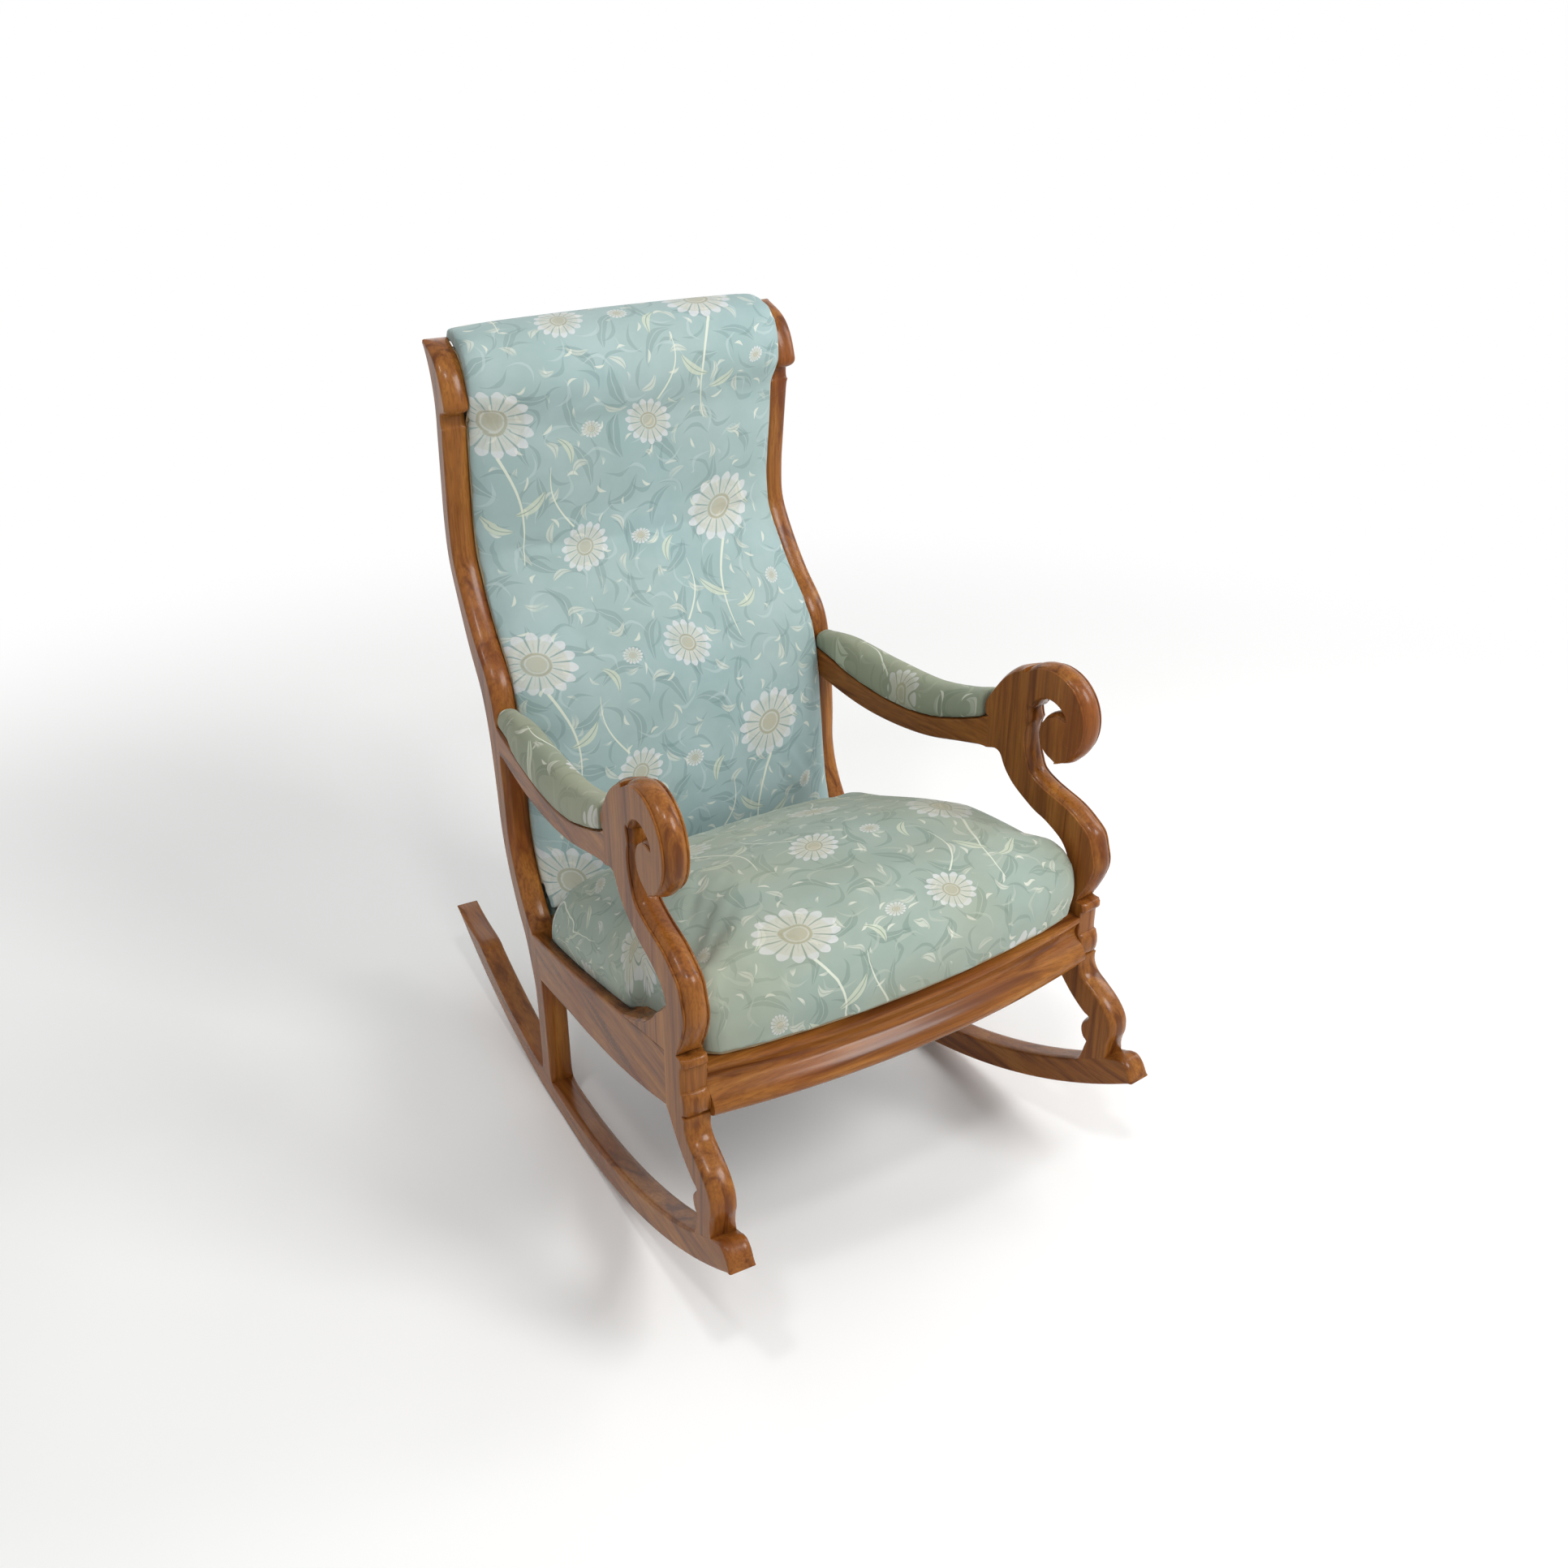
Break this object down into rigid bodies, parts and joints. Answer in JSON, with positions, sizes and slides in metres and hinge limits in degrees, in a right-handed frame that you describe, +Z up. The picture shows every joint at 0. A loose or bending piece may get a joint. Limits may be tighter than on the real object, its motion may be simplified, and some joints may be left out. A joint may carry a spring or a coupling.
{
  "type": "upholstered rocking chair",
  "caption": "Open-arm rocking chair with scrolled wooden arms, curved runners, a sprung seat and a tall upholstered back with a rolled top.",
  "frame": {"origin": "middle of the bounding box on the floor, where the rockers stand", "axes": "+Z up, -Y towards the front of the chair, +X to the right as seen from in front"},
  "size_m": [0.6364, 0.9648, 1.0478],
  "materials": {
    "show_wood": "glossy",
    "frame_wood": "matte",
    "dowel_wood": "matte",
    "steel": "satin",
    "webbing": "matte",
    "canvas": "matte",
    "cover_fabric": "matte",
    "dust_cloth": "matte"
  },
  "bodies": {
    "root": {"rocker_left": "show_wood", "rocker_right": "show_wood", "front_leg_left": "show_wood", "front_leg_right": "show_wood", "stile_left": "show_wood", "stile_right": "show_wood", "side_rail_left": "show_wood", "side_rail_right": "show_wood", "arm_support_left": "show_wood", "arm_support_right": "show_wood", "arm_left": "show_wood", "arm_right": "show_wood", "front_rail": "show_wood", "rear_rail": "frame_wood", "low_back_rail": "frame_wood", "crest_rail": "frame_wood", "corner_blocks": "frame_wood", "foot_dowels": "dowel_wood", "support_dowels": "dowel_wood", "side_rail_dowels": "dowel_wood", "arm_dowels": "dowel_wood", "cross_rail_dowels": "dowel_wood", "arm_screws": "steel", "corner_screws": "steel", "long_webbing": "webbing", "cross_webbing": "webbing", "seat_springs": "steel", "spring_canvas": "canvas", "seat_cushion": "cover_fabric", "dust_cover": "dust_cloth", "back_webbing": "webbing", "back_canvas": "canvas", "back_cushion": "cover_fabric", "outside_back": "cover_fabric", "arm_pad_left": "cover_fabric", "arm_pad_right": "cover_fabric"}
  },
  "joints": []
}
